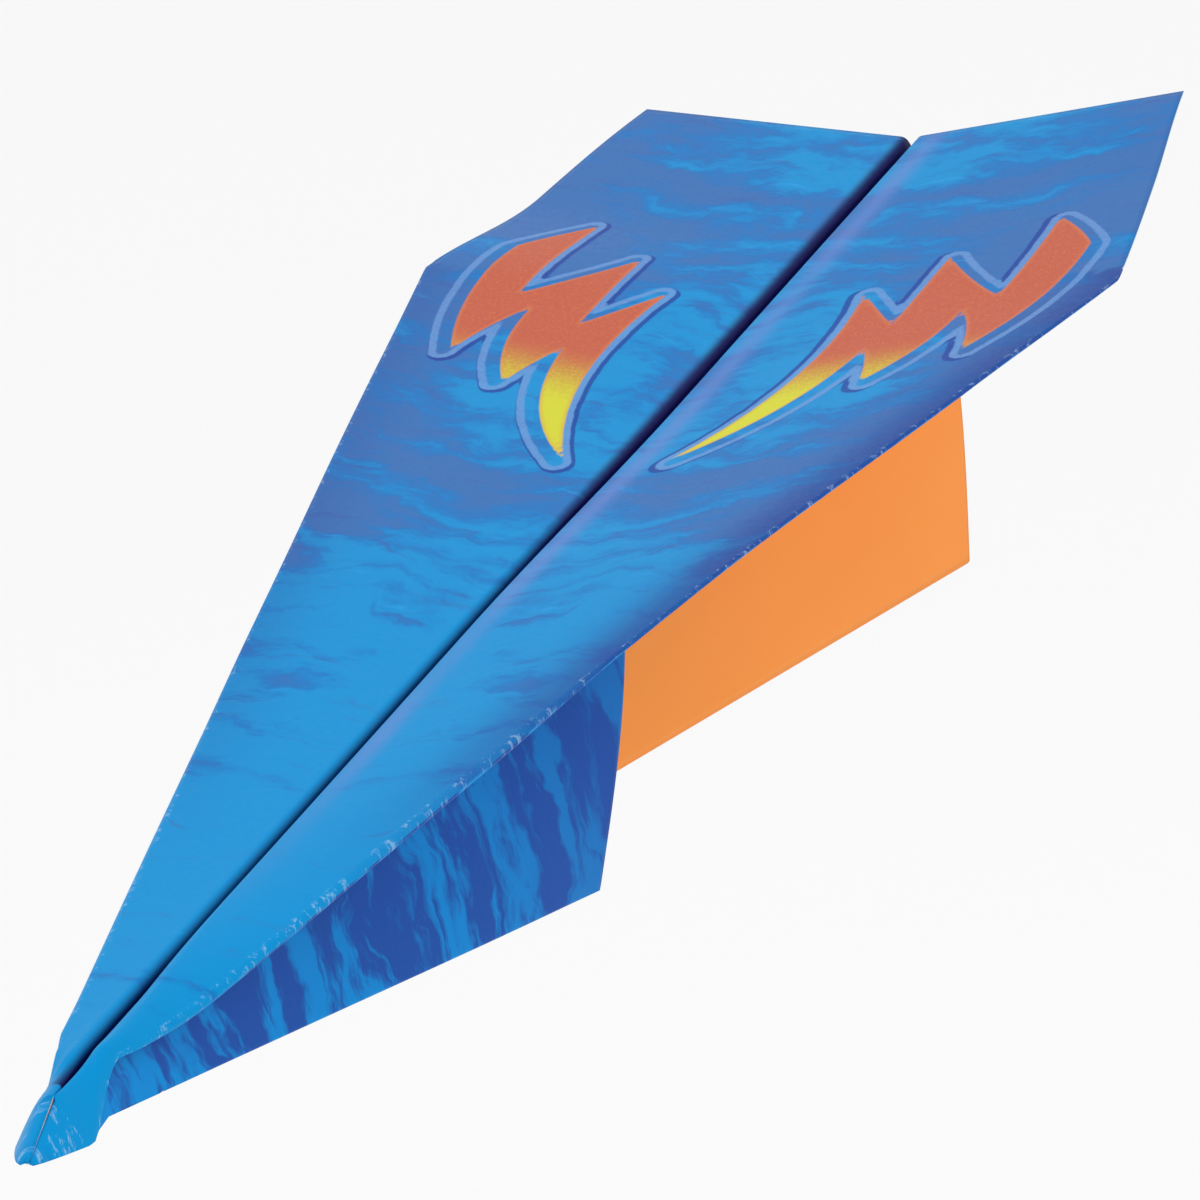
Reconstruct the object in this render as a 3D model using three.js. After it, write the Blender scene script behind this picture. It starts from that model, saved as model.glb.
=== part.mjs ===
// A folded paper dart, made from one printed sheet.
// Millimetres, +X towards the nose, +Y towards the left wing, +Z up.
// The origin is the grip point, on the middle plane of the body above the keel.
//
// One half of the sheet makes one side of the dart. Counting from the groove
// outwards, a side is stacked like this: the main sheet, the front corner
// turned in by the first fold (it is cut by the second fold into a front layer
// and a back layer), and the turned-over strip that shows the print again.
// The crease at the wing root cuts every layer into a part on the body and a
// part on the wing.

import * as THREE from 'three';

// --- sheet and fold lines, measured from where the creases meet at the nose ---
const SHEET_HALF_WIDTH = 105;
const TAIL_AFT = 285;
const ROOT_HEIGHT_TAIL = 62;       // root crease above the keel, at the tail
const LEADING_OFFSET = 4;          // the leading edge misses the meeting point by this
const SHOULDER_AFT = 226;          // where the leading edge meets the sheet's side
const FIRST_FOLD_AFT = 93;         // the sheet's front edge, after the first fold
const FLAP_CORNER_AFT = 138;
const FLAP_CORNER_DROP = 10.5;     // the flap's corner hangs this far past the keel
const BEAK_AHEAD = 9;              // the blunt nose hangs ahead of and below the meeting point
const BEAK_DROP = 6.4;
const BEAK_HEEL_AFT = 1;

// --- angles at rest, in degrees ---
const BODY_HALF_OPENING = 1;
const LEFT_WING_FOLD = 90;         // turned out from the plane of the side
const RIGHT_WING_FOLD = 83;
const FLAP_FLARE = 15;

// --- paper and folds ---
const PAPER = 0.2;
const LAYER_GAP = 0.3;
const PITCH = PAPER + LAYER_GAP;
const STACK = 3 * PITCH + PAPER;
const KEEL_RADIUS = 0.5;
const ROOT_RADIUS = STACK + LAYER_GAP / 2;
const KEEL_TRIM = 0.55;            // panels stop this far above the keel axis
const ROOT_TRIM_SIDE = 0.3;
const ROOT_TRIM_WING = 0.95;
const INNER_ROOT_TRIM = ROOT_RADIUS + LAYER_GAP / 2;
const LEADING_TRIM = STACK / 2 + LAYER_GAP;
const HEM_RADIUS = PITCH / 2 + PAPER / 2;
const HEM_TRIM = HEM_RADIUS + LAYER_GAP;
const KEEL_NOSE_AFT = 1;           // where each piece ends at the nose, as they narrow
const RIDGE_NOSE_AFT = 3;
const WING_NOSE_AFT = 10;
const INNER_NOSE_AFT = 20;
const ARC_STEPS = 10;

// --- where the hand holds it ---
const GRIP_AFT = 168;
const GRIP_HEIGHT = 20;

const LEFT = 1;
const RIGHT = -1;

const FRONT_LAYER = PITCH;
const BACK_LAYER = 2 * PITCH;
const TURNED_LAYER = 3 * PITCH;

const LOOKS = {
  print: { color: 0x0088c8, roughness: 0.45 },
  printShade: { color: 0x2a48a0, roughness: 0.5 },
  plain: { color: 0xfa9b48, roughness: 0.6 },
  crease: { color: 0x5f8fc8, roughness: 0.6 },
};

function makeMesh(name, geometry, look) {
  const material = new THREE.MeshStandardMaterial({ ...LOOKS[look], metalness: 0 });
  const mesh = new THREE.Mesh(geometry, material);
  mesh.name = name;
  return mesh;
}

function makeGroup(name, parent) {
  const group = new THREE.Group();
  group.name = name;
  parent.add(group);
  return group;
}

// A point of the flat half sheet: distance aft of the nose, distance off the keel.
const at = (aft, height) => new THREE.Vector2(-aft, height);

// Where two lines cross, each given by a point and a direction.
function crossing(pointA, directionA, pointB, directionB) {
  const gap = pointB.clone().sub(pointA);
  const along = gap.cross(directionB) / directionA.cross(directionB);
  return pointA.clone().addScaledVector(directionA, along);
}

// The same outline with each edge moved in by its own margin. Corners run
// anticlockwise, and edge i starts at corner i.
function trimmed(corners, margins) {
  const edges = corners.map((corner, i) => {
    const direction = corners[(i + 1) % corners.length].clone().sub(corner).normalize();
    const inward = new THREE.Vector2(-direction.y, direction.x);
    return { point: corner.clone().addScaledVector(inward, margins[i]), direction };
  });
  return edges.map((edge, i) => {
    const before = edges[(i + edges.length - 1) % edges.length];
    return crossing(before.point, before.direction, edge.point, edge.direction);
  });
}

// A flat layer of paper. Its offset counts outwards from the axis it hangs on.
function layer(name, corners, margins, offset, hand, look) {
  const shape = new THREE.Shape(trimmed(corners, margins));
  const geometry = new THREE.ExtrudeGeometry(shape, { depth: PAPER, bevelEnabled: false });
  const mesh = makeMesh(name, geometry, look);
  mesh.position.z = hand === LEFT ? -offset - PAPER : offset;
  return mesh;
}

// A bent strip: an arc of paper, from one angle to another, drawn out along +X.
function bentStrip(name, radius, startAngle, endAngle, length, look) {
  const shape = new THREE.Shape();
  shape.absarc(0, 0, radius, startAngle, endAngle, false);
  shape.absarc(0, 0, radius - PAPER, endAngle, startAngle, true);
  const geometry = new THREE.ExtrudeGeometry(shape, {
    depth: length,
    bevelEnabled: false,
    curveSegments: ARC_STEPS,
  });
  geometry.rotateY(Math.PI / 2);
  return makeMesh(name, geometry, look);
}

// A half-round hem that joins two layers along the line from one point to another.
function hem(name, from, to, radius, offset, hand, bulge, look) {
  const run = to.clone().sub(from);
  const turn = bulge > 0 ? 0 : Math.PI;
  const mesh = bentStrip(name, radius, turn, turn + Math.PI, run.length(), look);
  mesh.position.set(from.x, from.y, -hand * offset);
  mesh.rotation.z = run.angle();
  return mesh;
}

// --- the fold lines on the half sheet ---
const meeting = at(0, 0);
const rootTail = at(TAIL_AFT, ROOT_HEIGHT_TAIL);
const rootLine = meeting.clone().sub(rootTail);
const rootAngle = Math.atan2(rootLine.y, rootLine.x);
const keelTail = at(TAIL_AFT, 0);
const tipTail = at(TAIL_AFT, SHEET_HALF_WIDTH);
const shoulder = at(SHOULDER_AFT, SHEET_HALF_WIDTH);
const leadingNose = at(0, LEADING_OFFSET);
const leadingLine = leadingNose.clone().sub(shoulder);
const flapCorner = at(FLAP_CORNER_AFT, -FLAP_CORNER_DROP);
const flapRear = shoulder.clone().sub(flapCorner);
const across = at(0, 1);

const onRoot = (point, direction) => crossing(meeting, rootLine, point, direction);
const rootAt = (aft) => onRoot(at(aft, 0), across);
const leadingAt = (aft) => crossing(leadingNose, leadingLine, at(aft, 0), across);

const beakTip = at(-BEAK_AHEAD, -BEAK_DROP);
const beakHeel = at(BEAK_HEEL_AFT, -BEAK_DROP);
const cornerLeading = leadingAt(FIRST_FOLD_AFT);
const backRoot = onRoot(flapCorner, cornerLeading.clone().sub(flapCorner));
const turnedRoot = onRoot(flapCorner, flapRear);
const flapHemLine = beakHeel.clone().sub(flapCorner);
const liningFront = crossing(flapCorner, flapHemLine, at(INNER_NOSE_AFT, 0), across);

// A point of the half sheet seen along the root crease.
function byRoot(point) {
  return point.clone().rotateAround(new THREE.Vector2(), -rootAngle);
}

function buildSide(dart, side, hand, wingFold) {
  const body = makeGroup(`${side}_body`, dart);
  body.rotation.x = Math.PI / 2 - hand * THREE.MathUtils.degToRad(BODY_HALF_OPENING);

  // The part of the main sheet and of the front layer beside the groove.
  body.add(layer(`${side}_side`, [keelTail, meeting, rootTail],
    [KEEL_TRIM, ROOT_TRIM_SIDE, 0], KEEL_RADIUS, hand, 'plain'));
  body.add(layer(`${side}_side_lining`,
    [at(FIRST_FOLD_AFT, 0), at(INNER_NOSE_AFT, 0), rootAt(INNER_NOSE_AFT), rootAt(FIRST_FOLD_AFT)],
    [KEEL_TRIM, 0, INNER_ROOT_TRIM, 0], KEEL_RADIUS + FRONT_LAYER, hand, 'print'));

  // Everything that turns about the root crease hangs on this group.
  const crease = makeGroup(`${side}_crease`, body);
  crease.position.z = -hand * (KEEL_RADIUS + ROOT_RADIUS);
  crease.rotation.z = rootAngle;

  // The rounded ridge that runs over from the side to the wing.
  const turn = THREE.MathUtils.degToRad(wingFold);
  const ridgeStart = hand === LEFT ? Math.PI - turn : 0;
  const ridgeLength = byRoot(rootAt(RIDGE_NOSE_AFT)).x - byRoot(rootTail).x;
  const ridge = bentStrip(`${side}_root_fold`, ROOT_RADIUS, ridgeStart, ridgeStart + turn,
    ridgeLength, 'print');
  ridge.position.x = byRoot(rootTail).x;
  crease.add(ridge);

  // The wing: four layers and the folds along its leading edge. The ridge takes
  // up some of the sheet, so the wing is that much narrower.
  const wing = makeGroup(`${side}_wing_turn`, crease);
  wing.rotation.x = -hand * turn;
  const taken = new THREE.Vector2(0, ROOT_RADIUS * turn);
  const onWing = (point) => byRoot(point).sub(taken);
  const addWingLayer = (name, corners, margins, offset, look) => wing.add(layer(
    `${side}_${name}`, corners.map(onWing), margins, offset - ROOT_RADIUS, hand, look));
  addWingLayer('wing',
    [rootTail, rootAt(WING_NOSE_AFT), leadingAt(WING_NOSE_AFT), shoulder, tipTail],
    [taken.y + ROOT_TRIM_WING, 0, LEADING_TRIM, 0, 0], 0, 'print');
  const innerRoot = rootAt(INNER_NOSE_AFT);
  const innerLeading = leadingAt(INNER_NOSE_AFT);
  addWingLayer('wing_front_layer',
    [rootAt(FIRST_FOLD_AFT), innerRoot, innerLeading, cornerLeading],
    [taken.y + INNER_ROOT_TRIM, 0, LEADING_TRIM, 0], FRONT_LAYER, 'print');
  addWingLayer('wing_back_layer',
    [backRoot, innerRoot, innerLeading, cornerLeading],
    [taken.y + INNER_ROOT_TRIM, 0, LEADING_TRIM, 0], BACK_LAYER, 'print');
  addWingLayer('wing_underside',
    [turnedRoot, rootAt(WING_NOSE_AFT), leadingAt(WING_NOSE_AFT), shoulder],
    [taken.y + INNER_ROOT_TRIM, 0, LEADING_TRIM, 0], TURNED_LAYER, 'printShade');

  const hemMiddle = STACK / 2 - ROOT_RADIUS;
  const inward = new THREE.Vector2(leadingLine.y, -leadingLine.x).setLength(STACK / 2);
  const leadingStart = onWing(shoulder.clone().add(inward));
  const leadingEnd = onWing(leadingAt(WING_NOSE_AFT).add(inward));
  const innerStart = onWing(cornerLeading.clone().add(inward));
  const innerEnd = onWing(innerLeading.clone().add(inward));
  wing.add(hem(`${side}_leading_fold`, leadingStart, leadingEnd, STACK / 2, hemMiddle,
    hand, 1, 'crease'));
  wing.add(hem(`${side}_inner_fold`, innerStart, innerEnd, HEM_RADIUS, hemMiddle,
    hand, 1, 'plain'));

  // The loose flap against the side: the turned-over strip, its lining and the
  // fold that joins them along the lower edge.
  const flap = makeGroup(`${side}_flap_turn`, crease);
  flap.rotation.x = hand * THREE.MathUtils.degToRad(FLAP_FLARE);
  const addFlapLayer = (name, corners, margins, offset, look) => flap.add(layer(
    `${side}_${name}`, corners.map(byRoot), margins, offset - ROOT_RADIUS, hand, look));
  addFlapLayer('flap',
    [flapCorner, beakHeel, beakTip, meeting, turnedRoot],
    [HEM_TRIM, HEM_TRIM, 0, INNER_ROOT_TRIM, 0], TURNED_LAYER, 'printShade');
  addFlapLayer('flap_lining',
    [flapCorner, liningFront, innerRoot, backRoot],
    [HEM_TRIM, 0, INNER_ROOT_TRIM, 0], BACK_LAYER, 'print');
  const upward = new THREE.Vector2(-flapHemLine.y, flapHemLine.x).setLength(HEM_RADIUS);
  const flapHemStart = byRoot(flapCorner.clone().add(upward));
  const flapHemEnd = byRoot(beakHeel.clone().add(upward));
  const flapMiddle = (BACK_LAYER + TURNED_LAYER + PAPER) / 2 - ROOT_RADIUS;
  flap.add(hem(`${side}_flap_fold`, flapHemStart, flapHemEnd, HEM_RADIUS, flapMiddle,
    hand, -1, 'printShade'));
}

const dart = new THREE.Group();
dart.name = 'paper_dart';
const sheet = makeGroup('sheet', dart);
sheet.position.set(GRIP_AFT, 0, -GRIP_HEIGHT);

const keel = bentStrip('keel_fold', KEEL_RADIUS + PAPER, Math.PI, 2 * Math.PI,
  TAIL_AFT - KEEL_NOSE_AFT, 'plain');
keel.position.x = -TAIL_AFT;
const keelTurn = makeGroup('keel_turn', sheet);
keelTurn.rotation.x = Math.PI / 2;
keelTurn.add(keel);

buildSide(sheet, 'left', LEFT, LEFT_WING_FOLD);
buildSide(sheet, 'right', RIGHT, RIGHT_WING_FOLD);

export default dart;
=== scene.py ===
import bpy
import bmesh
import numpy as np
from math import radians, degrees, sin, cos, atan2, pi, hypot
from mathutils import Matrix, Vector

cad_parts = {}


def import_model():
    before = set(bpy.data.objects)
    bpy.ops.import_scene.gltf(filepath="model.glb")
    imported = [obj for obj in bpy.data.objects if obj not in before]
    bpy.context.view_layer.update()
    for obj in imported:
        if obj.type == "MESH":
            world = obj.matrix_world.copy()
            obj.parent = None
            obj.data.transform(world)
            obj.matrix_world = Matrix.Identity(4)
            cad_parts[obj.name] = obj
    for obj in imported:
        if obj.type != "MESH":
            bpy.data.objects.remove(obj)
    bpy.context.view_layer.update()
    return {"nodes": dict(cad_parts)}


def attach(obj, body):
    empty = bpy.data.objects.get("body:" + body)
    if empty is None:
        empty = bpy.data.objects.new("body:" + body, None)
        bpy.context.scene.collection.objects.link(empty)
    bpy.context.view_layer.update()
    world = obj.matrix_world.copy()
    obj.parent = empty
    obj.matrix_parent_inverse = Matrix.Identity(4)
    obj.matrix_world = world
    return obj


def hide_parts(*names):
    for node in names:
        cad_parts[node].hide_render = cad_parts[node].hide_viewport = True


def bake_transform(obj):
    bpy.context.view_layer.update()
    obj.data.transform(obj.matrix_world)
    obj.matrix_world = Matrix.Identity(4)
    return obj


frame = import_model()

# Lengths in this script are millimetres until a mesh is made. A place on the half
# sheet is (aft, high): distance aft of the nose and distance off the keel crease.
MM = 0.001
GRIP_AFT = 168
GRIP_HEIGHT = 20
TAIL_AFT = 285
ROOT_HEIGHT_TAIL = 62
SHEET_HALF_WIDTH = 105
LEADING_OFFSET = 4
SHOULDER_AFT = 226
FIRST_FOLD_AFT = 93
FLAP_CORNER = (138, -10.5)
BEAK_TIP = (-9, -6.4)
BEAK_HEEL_AFT = 1
CHIN = (7, -4.6)               # where the flap's lower edge meets the blunt nose
LINING_NOSE_AFT = 20
WING_NOSE_AFT = 1.5            # ahead of this the wing is closed onto the blunt nose
NOSE_PRINT_AFT = 5             # ahead of this only printed paper shows
PIVOT_OUT = 2.35               # the root crease's axis, off the middle plane
STACK_HALF = 1.85              # the printed face, off that axis
FLAP_INSET = 0.15
SIDE_OUT = 0.55
HALF_OPENING = radians(1)
FLAP_FLARE = radians(15)
PAPER = 0.16
CELL = 1.2                     # spacing of the sheet's points
SEAM = 5.0                     # the wing piece reaches this far down the side
KEEL_LAP = 0.25                # the side reaches this far below the keel crease's line
HEM = 0.7                      # between the flap's printed face and the back of its lining
INNER_FRONT_DEPTH = 0.5        # the turned-in corner's two layers, below the wing's top
INNER_RADIUS = 0.33
INNER_BACK_DEPTH = INNER_FRONT_DEPTH + 2 * INNER_RADIUS
INNER_INSET = 0.85             # its fold, inside the wing's leading edge
GROOVE_SHADE_EDGE = {1: 0.7, -1: 2.3}  # where the groove's painted navy shade ends, up each side of the crease
FAR = 40.0                     # "no edge near", for distances that the print reads
OFF_GROOVE = 5.0               # "clear of the groove", likewise
ROOT_SLOPE = ROOT_HEIGHT_TAIL / TAIL_AFT
RHO = atan2(ROOT_HEIGHT_TAIL, TAIL_AFT)
LEADING_SLOPE = (SHEET_HALF_WIDTH - LEADING_OFFSET) / SHOULDER_AFT
SIGMA = atan2(SHEET_HALF_WIDTH - LEADING_OFFSET, SHOULDER_AFT)
REAR_SLOPE = (SHEET_HALF_WIDTH - FLAP_CORNER[1]) / (SHOULDER_AFT - FLAP_CORNER[0])
TURNED_ROOT_AFT = (REAR_SLOPE * SHOULDER_AFT - SHEET_HALF_WIDTH) / (REAR_SLOPE - ROOT_SLOPE)
CORNER_HIGH = LEADING_OFFSET + LEADING_SLOPE * FIRST_FOLD_AFT
BACK_SLOPE = (CORNER_HIGH - FLAP_CORNER[1]) / (FLAP_CORNER[0] - FIRST_FOLD_AFT)
BACK_ROOT_AFT = (CORNER_HIGH + BACK_SLOPE * FIRST_FOLD_AFT) / (ROOT_SLOPE + BACK_SLOPE)
LEAD_OUT = np.array([-sin(SIGMA), cos(SIGMA)])    # on the sheet, square to the leading edge
HANDS = {"left": 1, "right": -1}
# Each wing's width at the shoulder and its growth from there to the tail. The keel is
# folded a little off the sheet's middle, so the right wing is the wider one.
WING_WIDTH = {0: (SHEET_HALF_WIDTH, 0), 1: (103.5, -1.2), -1: (104.4, 4.6)}


def ease(x, low, high):
    """0 below low, 1 above high and a smooth step between."""
    t = np.clip((x - low) / (high - low), 0, 1)
    return t * t * (3 - 2 * t)


def root_high(aft):
    return ROOT_SLOPE * aft


def ridge_high(aft):
    """The root crease, and ahead of where the creases meet, the nose's front ridge."""
    return root_high(aft) if aft >= 0 else aft * BEAK_TIP[1] / BEAK_TIP[0]


def leading_high(aft, hand=0):
    """The wing's outer edge, of one wing or, with hand 0, of the fold pattern."""
    width, growth = WING_WIDTH[hand]
    side = width + growth * ease(aft, SHOULDER_AFT, TAIL_AFT)
    if aft < WING_NOSE_AFT:
        return 2 * ridge_high(aft) - BEAK_TIP[1]
    return min(LEADING_OFFSET + LEADING_SLOPE * aft + 0.27 * max(10 - aft, 0), side)


def rear_high(aft):
    """The turned-over strip's rear edge."""
    return SHEET_HALF_WIDTH - (SHOULDER_AFT - aft) * REAR_SLOPE


def back_high(aft):
    """The turned-in corner's rear edge."""
    return CORNER_HIGH - (aft - FIRST_FOLD_AFT) * BACK_SLOPE


def along_off(aft, high):
    """The same place along the root crease and off it."""
    return -(aft * cos(RHO) + high * sin(RHO)), high * cos(RHO) - aft * sin(RHO)


def behind_nose(aft, high):
    """Distance behind the nose's front ridge."""
    return (aft * -BEAK_TIP[1] + high * BEAK_TIP[0]) / hypot(*BEAK_TIP)


def seam_depth(aft):
    """How far the wing piece reaches down the side."""
    return min(SEAM, max(root_high(aft), 0) * 0.8)


# --- how the paper stands ---
def axes(hand):
    """Out from a side, up it, and along and across its root crease."""
    out = np.array([0, hand * cos(HALF_OPENING), -sin(HALF_OPENING)])
    up = np.array([0, sin(HALF_OPENING), cos(HALF_OPENING)])
    ahead = np.array([1.0, 0, 0])
    run = cos(RHO) * ahead - sin(RHO) * up
    rise = sin(RHO) * ahead + cos(RHO) * up
    return out, up, run, rise


KEEL_POINT = np.array([GRIP_AFT, 0, -GRIP_HEIGHT], float)


def pinch(hand, aft, high):
    """How far the two halves stand apart at the nose, where they close to a ridge."""
    closing = 5.5
    behind = behind_nose(aft, high)
    fullness = 0.55 if hand > 0 else 0.36
    return max(behind / closing, 0.0) ** fullness if behind < closing else 1.0


def close_up(point, share):
    """Move a point towards the middle plane."""
    point = point.copy()
    point[1] *= share
    return point


def wing_turn(hand, aft):
    """The wing's angle from the side, which grows where the leading edge droops to the nose."""
    aft = max(aft, 3.0)
    if hand > 0:
        turn = 87.5 + 110 * np.exp(-aft / 22) + 1.5 * ease(aft, 190, 226) - 2 * ease(aft, 255, 290)
    else:
        turn = 81.5 + 20 * np.exp(-aft / 22) + 60 * np.exp(-(aft / 6) ** 2)
        turn += 1.2 * ease(aft, 150, 226) + 3.6 * ease(aft, 226, 255)
    return radians(min(turn, 158.0))


def ridge_radius(hand, turn):
    crisp = 1.0 if hand > 0 else 1.5
    return crisp + (STACK_HALF - crisp) * ease(degrees(turn), 95, 125)


def crest(aft):
    """Height of the wing's top over the crease axis: four layers ahead, one behind."""
    return STACK_HALF - 1.3 * ease(aft, 130, 200)


def ridge_bend(hand, aft):
    """The bend over the root crease: its angle and radius, and its centre off the axis, outwards
    and up the side."""
    turn = wing_turn(hand, aft)
    r = ridge_radius(hand, turn)
    x = -(STACK_HALF - r)
    z = (crest(aft) - r + x * cos(turn)) / sin(turn)
    return turn, r, x, z


def skin_point(hand, aft, high, depth=0.0):
    """A point of the main sheet from the groove over the ridge to the wing, or of a layer
    that lies depth below it."""
    out, up, run, rise = axes(hand)
    cover = 1.0
    if aft >= 0:
        cover = 1 - ease(aft, WING_NOSE_AFT, 11 if hand > 0 else 9)
        cover *= ease((high - root_high(aft)) * cos(RHO), 0, 2.5)
    laid = None
    if cover > 0:
        ridge = ridge_high(aft)
        laid = flap_point(hand, aft, ridge - max(high - ridge, 0), depth - wing_thickness(aft) - 0.3)
        if cover == 1:
            return laid
    s, t = along_off(aft, high)
    turn, r, x, z = ridge_bend(hand, aft)
    pivot = KEEL_POINT + PIVOT_OUT * out + s * run
    if t <= z:
        point = pivot + (depth - STACK_HALF) * out + t * rise
    else:
        beta = (t - z) / r
        centre = pivot + x * out + z * rise
        if beta < turn:
            point = centre + (r - depth) * (sin(beta) * rise - cos(beta) * out)
        else:
            top = sin(turn) * rise - cos(turn) * out
            span = cos(turn) * rise + sin(turn) * out
            point = centre + (r - depth) * top + (t - z - r * turn) * span
    point = close_up(point, pinch(hand, aft, root_high(aft)))
    return point if laid is None else point * (1 - cover) + laid * cover


def span_high(hand, aft, reach):
    """How high on the sheet the wing is at a distance outboard of the crease axis."""
    turn, r, x, z = ridge_bend(hand, aft)
    t = reach + z + r * turn - (z * cos(turn) + x * sin(turn))
    return root_high(aft) + t / cos(RHO)


def flap_point(hand, aft, high, depth=0.0):
    """A point of the loose flap, which bulges, or of a layer that lies depth below its face."""
    deepest = 39.6
    out, up, run, rise = axes(hand)
    s, t = along_off(aft, high)
    drop = np.clip(-t / deepest, 0, 1)
    bulge = 2.4 * sin(pi * drop) * ease(aft, 60, 165) - 1.4 * drop**2 * ease(aft, 60, 138)
    lean = cos(FLAP_FLARE) * rise - sin(FLAP_FLARE) * out
    face = cos(FLAP_FLARE) * out + sin(FLAP_FLARE) * rise
    pivot = KEEL_POINT + PIVOT_OUT * out + s * run
    if hand < 0:
        bulge += 1.9 * np.exp(-(aft / 9) ** 2)
    point = pivot + t * lean + (bulge - FLAP_INSET - depth) * face
    return close_up(point, pinch(hand, aft, high))


def side_point(hand, aft, high):
    """A point of the main sheet in the groove, which bows outwards at the tail."""
    out, up, run, rise = axes(hand)
    share = high / root_high(aft) if aft > 0 else 0
    bow = 1.9 * sin(pi * min(share, 1.0)) * ease(aft, 205, 285)
    point = KEEL_POINT + np.array([-aft, 0, 0]) + high * up + (SIDE_OUT + bow) * out
    return close_up(point, pinch(hand, aft, root_high(aft)))


# --- the bolt printed on each wing: corners of the outline and how far the edge from each bows ---
BOLT = [
    ((248, 90.5), -0.4), ((222.5, 86), -0.6), ((239, 76), 0), ((217, 71.5), 0), ((230, 65), -4.8),
    ((178.5, 46.5), 3.4), ((209.5, 69), -0.4), ((197, 70.5), 1.8), ((219, 81.5), -0.8),
    ((203, 84), 2.4), ((237, 97), 0.5),
]


def bolt_outline(steps=10):
    """The bolt's corners, with points along each edge that bows."""
    points = []
    for i, (start, bow) in enumerate(BOLT):
        end = np.array(BOLT[(i + 1) % len(BOLT)][0], float)
        start = np.array(start, float)
        run = end - start
        normal = np.array([-run[1], run[0]]) / np.linalg.norm(run)
        for f in np.arange(steps) / steps if bow else [0.0]:
            points.append(start + run * f + normal * bow * 4 * f * (1 - f))
    return np.array(points)


OUTLINE = bolt_outline()


def bolt_distance(aft, high, shift=(0, 0)):
    """Distance outside the bolt's outline in millimetres, negative inside."""
    p = np.stack([aft - shift[0], high - shift[1]], -1).reshape(-1, 2)
    best = np.full(len(p), 1e9)
    inside = np.zeros(len(p), bool)
    for a, b in zip(OUTLINE, np.roll(OUTLINE, -1, 0)):
        e = b - a
        w = p - a
        f = np.clip((w @ e) / (e @ e), 0, 1)
        best = np.minimum(best, np.linalg.norm(w - f[:, None] * e, axis=1))
        crosses = (a[1] > p[:, 1]) != (b[1] > p[:, 1])
        where = a[0] + (p[:, 1] - a[1]) * e[0] / (e[1] if e[1] else 1e-9)
        inside ^= crosses & (p[:, 0] < where)
    return np.where(inside, -best, best)


# --- materials ---
def linear(r, g, b):
    """A screen colour, 0 to 255, as Blender's linear colour."""
    channel = [c / 255 for c in (r, g, b)]
    return [c / 12.92 if c <= 0.04045 else ((c + 0.055) / 1.055) ** 2.4 for c in channel] + [1]


class Paint:
    """A material's node tree, with short ways to add nodes."""

    def __init__(self, name, roughness, specular=0.5):
        self.material = bpy.data.materials.new(name)
        self.material.use_nodes = True
        self.tree = self.material.node_tree
        self.shader = self.tree.nodes["Principled BSDF"]
        self.shader.inputs["Roughness"].default_value = roughness
        self.shader.inputs["Specular IOR Level"].default_value = specular

    def put(self, socket, value):
        if isinstance(value, bpy.types.NodeSocket):
            self.tree.links.new(value, socket)
        elif value is not None:
            socket.default_value = value

    def math(self, operation, a, b=None, c=None):
        node = self.tree.nodes.new("ShaderNodeMath")
        node.operation = operation
        for i, value in enumerate((a, b, c)):
            self.put(node.inputs[i], value)
        return node.outputs[0]

    def plus(self, *values):
        total = values[0]
        for value in values[1:]:
            total = self.math("ADD", total, value)
        return total

    def times(self, a, b):
        return self.math("MULTIPLY", a, b)

    def step(self, value, low, high, start=0.0, end=1.0):
        node = self.tree.nodes.new("ShaderNodeMapRange")
        node.interpolation_type = "SMOOTHSTEP"
        self.put(node.inputs["Value"], value)
        for name, number in (("From Min", low), ("From Max", high), ("To Min", start), ("To Max", end)):
            self.put(node.inputs[name], number)
        return node.outputs["Result"]

    def mix(self, share, a, b):
        node = self.tree.nodes.new("ShaderNodeMix")
        node.data_type = "RGBA"
        self.put(node.inputs["Factor"], share)
        self.put(node.inputs[6], a)
        self.put(node.inputs[7], b)
        return node.outputs[2]

    def attribute(self, name):
        node = self.tree.nodes.new("ShaderNodeAttribute")
        node.attribute_name = name
        return node.outputs

    def fact(self, name):
        return self.attribute(name)["Fac"]

    def place(self):
        split = self.tree.nodes.new("ShaderNodeSeparateXYZ")
        self.tree.links.new(self.attribute("sheet")["Vector"], split.inputs[0])
        return split.outputs

    def join(self, x, y, z=0.0):
        node = self.tree.nodes.new("ShaderNodeCombineXYZ")
        for i, value in enumerate((x, y, z)):
            self.put(node.inputs[i], value)
        return node.outputs[0]

    def noise(self, vector, scale=1.0, detail=4.0, roughness=0.55, distortion=0.0):
        node = self.tree.nodes.new("ShaderNodeTexNoise")
        self.put(node.inputs["Vector"], vector)
        for name, number in (("Scale", scale), ("Detail", detail), ("Roughness", roughness),
                             ("Distortion", distortion)):
            self.put(node.inputs[name], number)
        return node.outputs["Fac"]

    def bump(self, height, distance, strength=1.0):
        node = self.tree.nodes.new("ShaderNodeBump")
        self.put(node.inputs["Height"], height)
        self.put(node.inputs["Distance"], distance)
        self.put(node.inputs["Strength"], strength)
        self.tree.links.new(node.outputs[0], self.shader.inputs["Normal"])

    def colour(self, value):
        self.put(self.shader.inputs["Base Color"], value)


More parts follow.
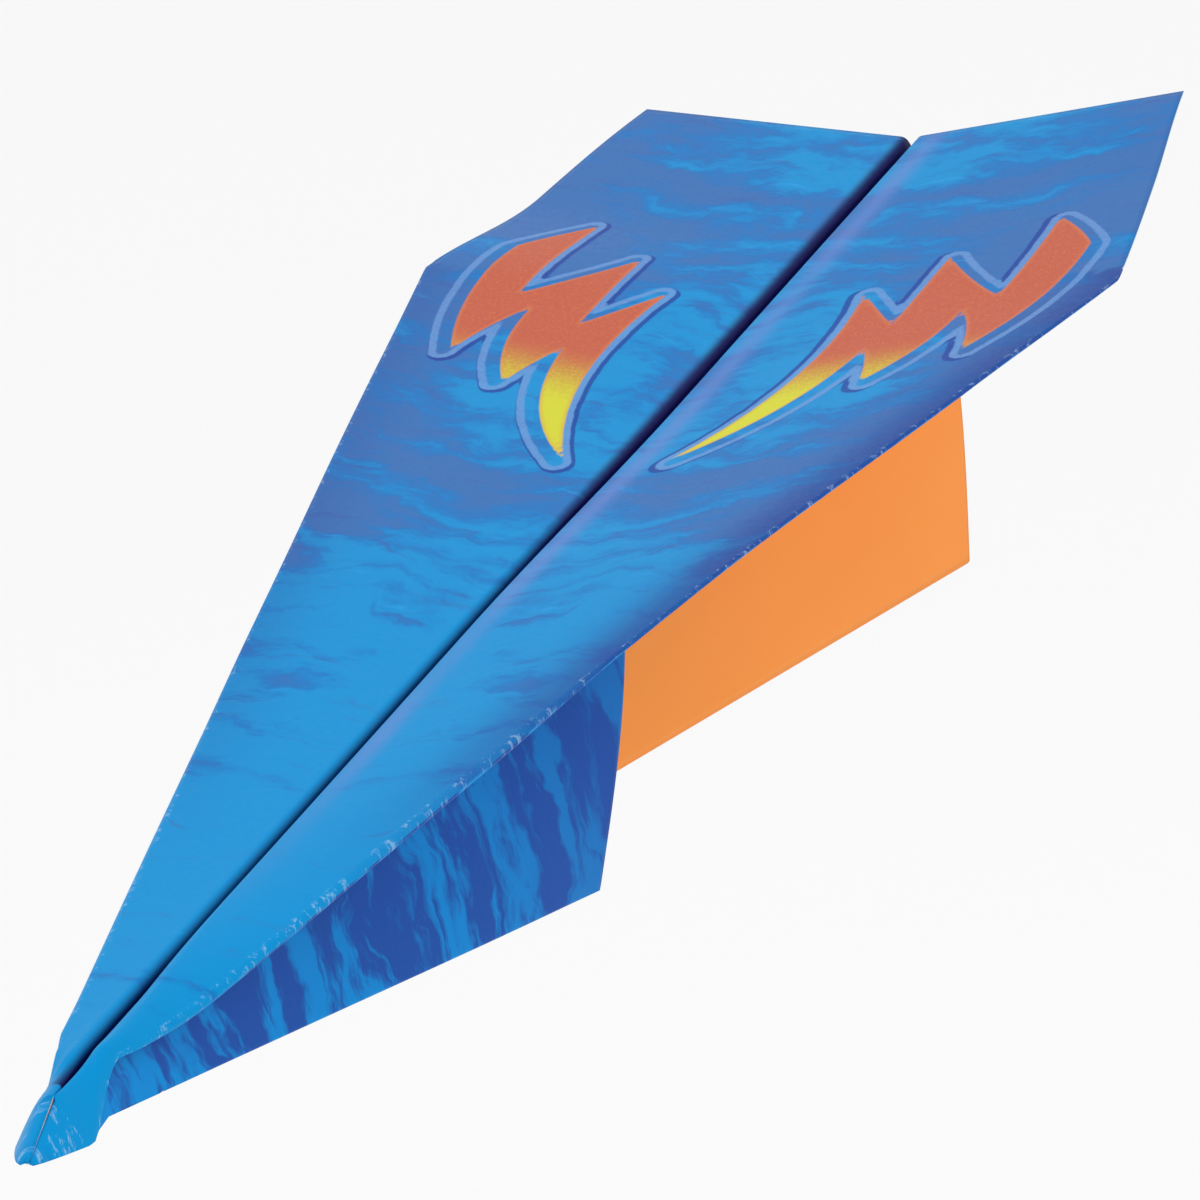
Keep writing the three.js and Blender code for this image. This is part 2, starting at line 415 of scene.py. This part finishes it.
BASE_BLUE = linear(0, 140, 204)
DEEP_BLUE = linear(10, 104, 182)
LIGHT_BLUE = linear(40, 160, 226)
PERIWINKLE = linear(56, 108, 174)
VIOLET = linear(62, 86, 160)
# painted sheen: a pale lilac band beside the left wing's root crease
SHEEN_LILAC = linear(104, 132, 200)
# painted shade: darker blue along the wing's leading edge
LEADING_SHADE_BLUE = linear(22, 56, 140)
# painted shade: the navy put into the groove between the wing and the body
GROOVE_SHADE_NAVY = linear(16, 16, 80)
SHADOW = linear(16, 58, 150)
PALE = linear(104, 148, 206)
SCUFF = linear(176, 208, 236)
TURNED_BLUE = linear(14, 84, 170)
TURNED_VIOLET = linear(46, 62, 142)
TURNED_LIGHT = linear(0, 134, 208)
BOLT_YELLOW = linear(206, 206, 52)
BOLT_RED = linear(190, 92, 70)
BOLT_ORANGE = linear(226, 136, 52)
BOLT_RIM = linear(214, 132, 74)


def halftone(paint, aft, high):
    """The dot screen of the print, as a height from 0 to 1."""
    pitch = 0.42
    turned = 0.32
    c, s = cos(turned), sin(turned)
    u = paint.plus(paint.times(aft, c), paint.times(high, s))
    v = paint.math("SUBTRACT", paint.times(high, c), paint.times(aft, s))
    waves = [paint.math("SINE", paint.times(w, 2 * pi / pitch)) for w in (u, v)]
    return paint.math("MULTIPLY_ADD", paint.times(*waves), 0.5, 0.5)


def streaks(paint, aft, high, seed, width, length, detail=5.0, wander=3.0):
    """Brushed streaks that run across the sheet, from the keel outwards."""
    sway = paint.noise(paint.join(paint.times(aft, 0.03), paint.times(high, 0.045), seed + 5))
    across = paint.plus(paint.math("DIVIDE", aft, width), paint.times(sway, wander))
    return paint.noise(paint.join(across, paint.math("DIVIDE", high, length), seed), 1.0, detail, 0.6, 0.4)


def turned_ground(paint, aft, broad, fine, dots):
    """The darker print on the turned-over strip: light streaks that fade to the rear."""
    lit = paint.step(paint.plus(paint.times(broad, 0.75), paint.times(fine, 0.25)), 0.47, 0.57)
    lit = paint.math("MAXIMUM", lit, paint.step(aft, 8.6, 8.0))
    lit = paint.times(lit, paint.step(aft, 150, 90, 0.55, 1.0))
    ground = paint.mix(paint.step(dots, 0.45, 0.8, 0.0, 0.75), TURNED_BLUE, TURNED_VIOLET)
    return paint.mix(lit, ground, TURNED_LIGHT)


def wing_ground(paint, aft, high, broad, fine, dots):
    """The wing's print without the bolt: blue streaks, more violet outboard; over it painted lilac sheen
    beside the left root crease, painted shade along the leading edge and painted navy shade in the groove.
    """
    patch = paint.noise(paint.join(paint.times(aft, 0.022), paint.times(high, 0.03), 4.0), 1.0, 2.0)
    outboard = paint.step(paint.math("SUBTRACT", high, paint.times(aft, ROOT_SLOPE)), 4, 46)
    amount = paint.plus(paint.times(broad, 0.8), paint.times(patch, 0.45), paint.times(fine, 0.22),
                        paint.times(outboard, 0.14), paint.step(aft, 20, 260, -0.05, 0.05))
    colour = paint.mix(paint.step(amount, 0.74, 0.86, 0.0, 0.75), BASE_BLUE, DEEP_BLUE)
    colour = paint.mix(paint.step(amount, 0.8, 0.95, 0.0, 0.92), colour, PERIWINKLE)
    colour = paint.mix(paint.step(fine, 0.58, 0.72, 0.0, 0.35), colour, VIOLET)
    colour = paint.mix(paint.step(fine, 0.36, 0.27, 0.0, 0.4), colour, LIGHT_BLUE)
    colour = paint.mix(paint.times(paint.step(dots, 0.5, 0.95, 0.0, 0.16), outboard), colour, VIOLET)
    # painted sheen beside the left root crease, broken up by the patch noise
    sheen_mask = paint.times(paint.fact("crease_sheen"), paint.step(patch, 0.3, 0.6, 0.4, 1.0))
    colour = paint.mix(sheen_mask, colour, SHEEN_LILAC)
    # painted shade along the leading edge, stronger on the left wing
    colour = paint.mix(paint.fact("leading_shade"), colour, LEADING_SHADE_BLUE)
    # painted shade: navy in the groove, by the root crease and down the side
    return paint.mix(paint.step(paint.fact("groove"), 0.0, 2.2), colour, GROOVE_SHADE_NAVY)


def with_bolt(paint, colour, aft, high):
    """The bolt over a ground: its printed shadow, its light blue outline and its fill, yellow to red."""
    grain = paint.noise(paint.join(aft, high, 1.0), 2.2, 3.0, 0.7)
    wobble = paint.noise(paint.join(aft, high, 7.0), 0.35, 2.0)
    wobble = paint.math("MULTIPLY_ADD", wobble, 0.5, -0.25)
    shade = paint.plus(paint.fact("shade"), wobble)
    halo = paint.plus(paint.fact("halo"), wobble)
    under = paint.times(paint.step(shade, 2.6, 2.3), paint.step(halo, 1.9, 2.2))
    colour = paint.mix(paint.times(under, 0.85), colour, SHADOW)
    band = paint.times(paint.step(halo, 2.25, 1.9), paint.step(halo, 0.7, 1.15))
    band = paint.times(band, paint.step(grain, 0.3, 0.65, 0.55, 0.85))
    colour = paint.mix(band, colour, PALE)
    bolt = paint.fact("bolt")
    warm = paint.step(paint.plus(aft, paint.math("MULTIPLY_ADD", grain, 14.0, -7.0)), 194, 210)
    fill = paint.mix(warm, BOLT_YELLOW, BOLT_RED)
    fill = paint.mix(paint.times(paint.step(grain, 0.5, 0.7, 0.0, 0.4), warm), fill, BOLT_ORANGE)
    fill = paint.mix(paint.step(bolt, -0.9, -0.05, 0.0, 0.4), fill, BOLT_RIM)
    return paint.mix(paint.step(bolt, 0.12, -0.22), colour, fill)


def printed(name, dark=False):
    """The printed face, scuffed where the paper is worn at its edges; the wing's face also has painted
    sheen and shade.
    """
    paint = Paint(name, 0.4, 0.06)
    aft, high, _ = paint.place()
    broad = streaks(paint, aft, high, 2.0, 9.0, 34.0)
    fine = streaks(paint, aft, high, 9.0, 2.6, 22.0, 4.0, 6.0)
    dots = halftone(paint, aft, high)
    if dark:
        colour = turned_ground(paint, aft, broad, fine, dots)
    else:
        colour = with_bolt(paint, wing_ground(paint, aft, high, broad, fine, dots), aft, high)
    rub = paint.noise(paint.join(aft, high, 3.0), 0.9, 6.0, 0.75)
    scuff = paint.times(paint.step(paint.fact("worn"), 0.6, 0.1), paint.step(rub, 0.54, 0.64))
    paint.colour(paint.mix(paint.times(scuff, 0.4), colour, SCUFF))
    paint.put(paint.shader.inputs["Roughness"], paint.step(rub, 0.3, 0.7, 0.34, 0.46))
    paint.bump(paint.noise(paint.join(aft, high, 6.0), 1.6, 5.0, 0.6), 0.00004, 0.5)
    return paint.material


def plain(name, base, spot):
    """Unprinted paper, faintly clouded and grained."""
    paint = Paint(name, 0.62, 0.15)
    where = paint.tree.nodes.new("ShaderNodeTexCoord").outputs["Object"]
    grain = paint.noise(where, 900.0, 5.0, 0.7)
    cloud = paint.noise(where, 30.0, 3.0)
    colour = paint.mix(paint.step(cloud, 0.3, 0.75, 0.0, 0.5), base, spot)
    colour = paint.mix(paint.step(grain, 0.35, 0.75, 0.0, 0.22), colour, spot)
    paint.colour(colour)
    paint.bump(grain, 0.00005, 0.5)
    return paint.material


PRINT = printed("printed_face")
PRINT_DARK = printed("printed_face_turned", dark=True)
ORANGE = plain("plain_back", linear(246, 150, 66), linear(243, 144, 58))
EDGE = plain("paper_edge", linear(150, 190, 226), linear(200, 205, 215))
CREASED = plain("keel_crease", linear(240, 142, 58), linear(236, 134, 50))


# --- meshes ---
def weld(name, hand, grids, materials):
    """One sheet from grids that share edges. Each grid is points, what the print reads at
    them, and the material slot of each cell."""
    verts, faces, marks = [], [], []
    facts = {key: [] for key in grids[0][1]}
    for points, values, slot in grids:
        rows, cols = points.shape[:2]
        start = len(verts)
        verts.extend((points.reshape(-1, 3) * MM).tolist())
        for key in facts:
            facts[key].append(values[key].reshape(rows * cols, -1))
        for i in range(rows - 1):
            for a in range(start + i * cols, start + (i + 1) * cols - 1):
                quad = [a, a + 1, a + cols + 1, a + cols]
                faces.append(quad if hand > 0 else quad[::-1])
        marks.extend(np.broadcast_to(slot, (rows - 1, cols - 1)).ravel().tolist())
    mesh = bpy.data.meshes.new(name)
    mesh.from_pydata(verts, [], faces)
    mesh.polygons.foreach_set("material_index", marks)
    for key, parts in facts.items():
        data = np.concatenate(parts)
        vector = data.shape[1] == 3
        layer = mesh.attributes.new(key, "FLOAT_VECTOR" if vector else "FLOAT", "POINT")
        layer.data.foreach_set("vector" if vector else "value", data.astype(np.float32).ravel())
    work = bmesh.new()
    work.from_mesh(mesh)
    same_place = 0.02 * MM
    bmesh.ops.remove_doubles(work, verts=work.verts, dist=same_place)
    bmesh.ops.dissolve_degenerate(work, edges=work.edges, dist=same_place)
    work.to_mesh(mesh)
    work.free()
    mesh.polygons.foreach_set("use_smooth", [True] * len(mesh.polygons))
    for material in materials:
        mesh.materials.append(material)
    obj = bpy.data.objects.new(name, mesh)
    bpy.context.scene.collection.objects.link(obj)
    thick = obj.modifiers.new("paper", "SOLIDIFY")
    thick.thickness = PAPER * MM
    thick.offset = -1
    thick.material_offset = 1
    thick.material_offset_rim = 2
    return obj


def rows_between(start, end, extra=()):
    """Distances aft about one cell apart, with a row at each extra place."""
    count = max(int(round((end - start) / CELL)), 1)
    rows = list(np.linspace(start, end, count + 1)) + [x for x in extra if start < x < end]
    return sorted(set(np.round(rows, 6)))


def lay(point_of, hand, lines):
    """Points for lines of (aft, high) or (aft, high, depth), with their places on the sheet."""
    lines = np.array(lines, float)
    points = np.array([[point_of(hand, *place) for place in line] for line in lines])
    return points, lines[..., 0], lines[..., 1]


def sheet_facts(aft, high, worn=FAR, groove=0.0, crease_sheen=0.0, leading_shade=0.0, bolt=False):
    """What the print reads at each point of a grid, and where the wing's print paints sheen and shade."""
    halo_shift = (-0.7, 0.9)
    shade_shift = (-1.1, 0.3)
    facts = {"sheet": np.stack([aft, high, np.zeros_like(aft)], -1)}
    for key, value in (("worn", worn), ("groove", groove), ("crease_sheen", crease_sheen), ("leading_shade", leading_shade)):
        facts[key] = np.broadcast_to(value, aft.shape)
    for key, shift in (("bolt", (0, 0)), ("halo", halo_shift), ("shade", shade_shift)):
        facts[key] = bolt_distance(aft, high, shift).reshape(aft.shape) if bolt else np.full(aft.shape, FAR)
    return facts


def fold_turn(edge, outward, start, radius, steps):
    """Places round a fold, from a layer at depth start to the one behind it."""
    return [(*(edge + outward * radius * sin(p)), start + radius * (1 - cos(p)))
            for p in np.linspace(0, pi, steps + 1)[1:]]


# The columns of the wing's skin: up the side to the ridge, over it in fine steps and on to
# the leading edge; then round the leading edge and back underneath.
SIDE_COLS = 6
RIDGE_STEPS = np.arange(0, 4.6, 0.3)
WING_COLS = 45
TOP_COLS = SIDE_COLS + len(RIDGE_STEPS) + WING_COLS
LEAD_COLS = 8
UNDER_COLS = 29
TURNED_SLOT = 3
NOSE_SLOT = 6


def wing_thickness(aft):
    """Distance between the wing's printed top and its printed underside."""
    thick = 0.35 + 1.35 * ease(aft, 4, 24) - 1.0 * ease(aft, 86, 116)
    return thick - 0.4 * ease(aft, 200, SHOULDER_AFT)


def wing_top_row(hand, aft):
    """Places (aft, high) across the wing's top, from down the side to the leading edge."""
    ridge = np.array([aft, ridge_high(aft)])
    width = max(leading_high(aft, hand) - ridge[1], 0.01)
    folds = WING_NOSE_AFT < aft < SHOULDER_AFT + 0.01
    inset = wing_thickness(aft) / 2 if folds else 0.0
    end = np.array([aft, leading_high(aft, hand)]) - LEAD_OUT * inset
    shares = RIDGE_STEPS * min(1.0, 0.6 * width / RIDGE_STEPS[-1]) / width
    shares = np.concatenate([shares, np.linspace(shares[-1], 1, WING_COLS + 1)[1:]])
    side = np.tile(ridge, (SIDE_COLS, 1))
    if aft > 0:
        s, _ = along_off(*ridge)
        down = np.linspace(-seam_depth(aft), 0, SIDE_COLS + 1)[:-1]
        side = np.stack([-(s * cos(RHO)) - down * sin(RHO), -(s * sin(RHO)) + down * cos(RHO)], -1)
    return np.concatenate([side, ridge + shares[:, None] * (end - ridge)])


def wing_row(hand, aft, turned):
    """Places (aft, high, depth) of one row; turned is where the leading edge is folded under."""
    top = wing_top_row(hand, aft)
    row = [(*place, 0.0) for place in top]
    if turned:
        end = top[-1]
        depth = wing_thickness(aft)
        row += fold_turn(end, LEAD_OUT, 0.0, depth / 2, LEAD_COLS)
        low = rear_high(aft)
        if aft <= TURNED_ROOT_AFT:
            low = span_high(hand, aft, 0.5) if aft > WING_NOSE_AFT else end[1]
        low = np.array([aft, min(low, end[1])])
        row += [(*(low * f + end * (1 - f)), depth) for f in np.linspace(0, 1, UNDER_COLS + 1)[1:]]
    return row


def wing_grid(hand, rows, turned):
    """The wing's skin over some rows, as weld takes it."""
    points, aft, high = lay(skin_point, hand, [wing_row(hand, a, turned) for a in rows])
    row_aft = np.array(rows)[:, None]
    worn = np.full(aft.shape, FAR)
    if turned:
        edge = slice(TOP_COLS - 1, TOP_COLS)
        worn = np.hypot(aft - aft[:, edge], high - high[:, edge])
        worn[:, TOP_COLS:TOP_COLS + LEAD_COLS] = 0
        on_nose = np.where(row_aft < 0, 2 * behind_nose(aft, high), FAR)
        worn = np.where(row_aft < 3, on_nose, worn)
    on_top = (row_aft > 2) & (np.arange(aft.shape[1]) < TOP_COLS)
    off = np.where(on_top, along_off(aft, high)[1], OFF_GROOVE)
    # painted sheen: a band about 3.4 mm off the root crease, on the left wing only
    crease_sheen = np.exp(-((off - 3.4) / 1.8) ** 2) * (0.6 if hand > 0 else 0.0) * ease(aft, 40, 110)
    # painted shade: a band along the leading edge, 0.75 on the left wing and 0.25 on the right
    leading_shade = np.exp(-(np.abs(worn) / 7) ** 2) * (0.75 if hand > 0 else 0.25) * ease(aft, 50, 120)
    slot = np.zeros((len(rows) - 1, aft.shape[1] - 1), int)
    slot[:, TOP_COLS + 3:] = TURNED_SLOT
    slot[np.array(rows[:-1]) < NOSE_PRINT_AFT] = NOSE_SLOT
    # painted navy shade in the groove, painted sheen by the root crease and painted shade by the leading
    # edge all go to the print here
    facts = sheet_facts(aft, high, worn, GROOVE_SHADE_EDGE[hand] - off, crease_sheen, leading_shade, bolt=True)
    return points, facts, slot


def wing_skin(side, hand):
    """The main sheet over the ridge and the wing, with its leading edge and underside."""
    front = rows_between(BEAK_TIP[0] + 0.02, SHOULDER_AFT, (-7, -5, -2, 0, WING_NOSE_AFT, TURNED_ROOT_AFT))
    back = rows_between(SHOULDER_AFT, TAIL_AFT)
    grids = [wing_grid(hand, front, True), wing_grid(hand, back, False)]
    materials = [PRINT, ORANGE, EDGE, PRINT_DARK, ORANGE, EDGE, PRINT, PRINT, PRINT]
    obj = weld(f"{side}_wing_skin", hand, grids, materials)
    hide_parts(f"{side}_wing", f"{side}_leading_fold", f"{side}_wing_underside", f"{side}_root_fold")
    out, up, run, rise = axes(hand)
    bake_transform(obj)


def wing_inner(side, hand):
    """The turned-in corner in the wing: two layers and the fold inside the leading edge."""
    cols, turns = 25, 6
    lines = []
    for a in rows_between(LINING_NOSE_AFT, BACK_ROOT_AFT, (FIRST_FOLD_AFT,)):
        root = span_high(hand, a, 2.0)
        if a <= FIRST_FOLD_AFT:
            end = np.array([a, leading_high(a)]) - LEAD_OUT * INNER_INSET
            line = [(a, y, INNER_FRONT_DEPTH) for y in np.linspace(root, end[1], cols + 1)]
            line += fold_turn(end, LEAD_OUT, INNER_FRONT_DEPTH, INNER_RADIUS, turns)
            low, high = end[1], root
        else:
            low, high = max(back_high(a) - 0.8, root), root
            line = [(a, low, INNER_BACK_DEPTH)] * (cols + 1 + turns)
        line += [(a, y, INNER_BACK_DEPTH) for y in np.linspace(low, high, cols + 1)[1:]]
        lines.append(line)
    points, aft, high = lay(skin_point, hand, lines)
    obj = weld(f"{side}_wing_inner", hand, [(points, sheet_facts(aft, high), 0)], [ORANGE, PRINT, EDGE])
    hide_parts(f"{side}_wing_front_layer", f"{side}_wing_back_layer", f"{side}_inner_fold")
    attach(obj, f"{side}_wing")


def side_skin(side, hand):
    """The main sheet on the body, from the keel to where the wing's skin laps it."""
    lines = []
    for a in rows_between(1.2, TAIL_AFT):
        top = root_high(a) - seam_depth(a) * cos(RHO)
        lines.append([(a, -KEEL_LAP + f * (top + KEEL_LAP)) for f in np.linspace(0, 1, 40)])
    points, aft, high = lay(side_point, hand, lines)
    # the whole printed face inside the groove is painted navy: painted shade
    facts = sheet_facts(aft, high, groove=FAR)
    obj = weld(f"{side}_side_skin", hand, [(points, facts, 0)], [PRINT, ORANGE, ORANGE])
    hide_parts(f"{side}_side")
    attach(obj, f"{side}_body")


def flap_edge_high(aft):
    """The lower edge of the flap."""
    if aft <= BEAK_HEEL_AFT:
        return BEAK_TIP[1]
    if aft <= CHIN[0]:
        share = (aft - BEAK_HEEL_AFT) / (CHIN[0] - BEAK_HEEL_AFT)
        return BEAK_TIP[1] + share * (CHIN[1] - BEAK_TIP[1])
    if aft <= FLAP_CORNER[0]:
        share = (aft - CHIN[0]) / (FLAP_CORNER[0] - CHIN[0])
        return CHIN[1] + share * (FLAP_CORNER[1] - CHIN[1])
    return rear_high(aft)


def flap_thickness(aft):
    """Distance between the flap's printed face and the back of its lining."""
    return HEM - 0.4 * ease(aft, 128, FLAP_CORNER[0]) - 0.4 * (1 - ease(aft, 24, 40))


def flap_face(hand, rows):
    """The flap's printed layer, as weld takes it."""
    lines = []
    for a in rows:
        top = ridge_high(a) - min(0.45, max(a, 0) * 0.2) / cos(RHO)
        low = flap_edge_high(a)
        if LINING_NOSE_AFT <= a <= FLAP_CORNER[0]:
            low += flap_thickness(a) / 2
        lines.append([(a, y) for y in np.linspace(top, min(low, top), 36)])
    points, aft, high = lay(flap_point, hand, lines)
    worn = np.where(aft < 2, behind_nose(aft, high), FAR)
    return points, sheet_facts(aft, high, worn), 0


def flap_lining(hand, rows):
    """The fold along the flap's lower edge and the lining behind it, as weld takes them."""
    slope = atan2(CHIN[1] - FLAP_CORNER[1], FLAP_CORNER[0] - CHIN[0])
    down = np.array([sin(slope), -cos(slope)])
    lines = []
    for a in rows:
        size = flap_thickness(a)
        end = np.array([a, flap_edge_high(a) + size / 2])
        top = root_high(a) - 2.1 / cos(RHO) if a <= BACK_ROOT_AFT else back_high(a)
        line = [(*end, 0.0)] + fold_turn(end, down, 0.0, size / 2, 7)
        line += [(a, y, size) for y in np.linspace(end[1], max(top, end[1]), 30)[1:]]
        lines.append(line)
    points, aft, high = lay(flap_point, hand, lines)
    return points, sheet_facts(aft, high), 0


def flap_skin(side, hand):
    """The loose flap: its printed face, the first fold and the lining."""
    rows = rows_between(BEAK_TIP[0] + 0.02, TURNED_ROOT_AFT - 0.4,
                        (-6, -3, 0, BEAK_HEEL_AFT, CHIN[0], FLAP_CORNER[0]))
    lined = sorted([a for a in rows if LINING_NOSE_AFT <= a <= FLAP_CORNER[0]] + [BACK_ROOT_AFT])
    grids = [flap_face(hand, rows), flap_lining(hand, lined)]
    obj = weld(f"{side}_flap_skin", hand, grids, [PRINT_DARK, ORANGE, EDGE])
    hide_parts(f"{side}_flap", f"{side}_flap_lining", f"{side}_flap_fold")
    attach(obj, f"{side}_flap")


def repaint(node, material):
    """Give a CAD piece that stays as it is another material."""
    mesh = frame["nodes"][node].data
    mesh.materials.clear()
    mesh.materials.append(material)


# --- camera, lights and floor, in metres ---
CAMERA_PLACE = Vector((2.035892, 1.067180, 0.487116))
CAMERA_AHEAD = Vector((-0.86699543, -0.45381396, -0.20584413))
CAMERA_RIGHT = Vector((-0.43267211, 0.89048383, -0.14083108))
CAMERA_UP = Vector((-0.24721198, 0.03303689, 0.96839806))
CAMERA_LENS = 511.35
FLOOR_HEIGHT = -0.45


def camera():
    data = bpy.data.cameras.new("camera")
    data.sensor_width = 36
    data.lens = CAMERA_LENS
    data.clip_start, data.clip_end = 0.1, 20
    obj = bpy.data.objects.new("camera", data)
    turn = Matrix((CAMERA_RIGHT, CAMERA_UP, -CAMERA_AHEAD)).transposed().to_4x4()
    obj.matrix_world = Matrix.Translation(CAMERA_PLACE) @ turn
    bpy.context.scene.collection.objects.link(obj)
    bpy.context.scene.camera = obj


def area(name, place, size, power):
    """A round light that faces the object."""
    data = bpy.data.lights.new(name, "AREA")
    data.shape = "DISK"
    data.size = size
    data.energy = power
    obj = bpy.data.objects.new(name, data)
    obj.location = place
    obj.rotation_mode = "QUATERNION"
    obj.rotation_quaternion = (-Vector(place)).to_track_quat("-Z", "Y")
    bpy.context.scene.collection.objects.link(obj)


def floor():
    work = bmesh.new()
    bmesh.ops.create_grid(work, x_segments=24, y_segments=24, size=6)
    mesh = bpy.data.meshes.new("floor")
    work.to_mesh(mesh)
    work.free()
    obj = bpy.data.objects.new("floor", mesh)
    obj.location = (0, 0, FLOOR_HEIGHT)
    paint = Paint("floor", 0.85, 0.1)
    paint.colour((0.93, 0.93, 0.93, 1))
    mesh.materials.append(paint.material)
    bpy.context.scene.collection.objects.link(obj)


def world():
    scene = bpy.context.scene
    scene.world = bpy.data.worlds.new("studio")
    scene.world.use_nodes = True
    back = scene.world.node_tree.nodes["Background"]
    back.inputs["Color"].default_value = (1, 1, 1, 1)
    back.inputs["Strength"].default_value = 1.0
    scene.view_settings.view_transform = "Standard"


camera()
world()
floor()
area("key", (0.6, -0.5, 1.6), 1.0, 4)
area("fill", (1.4, 1.8, 0.5), 1.2, 3)
for side, hand in HANDS.items():
    wing_skin(side, hand)
    wing_inner(side, hand)
    side_skin(side, hand)
    flap_skin(side, hand)
    repaint(f"{side}_side_lining", ORANGE)
repaint("keel_fold", CREASED)
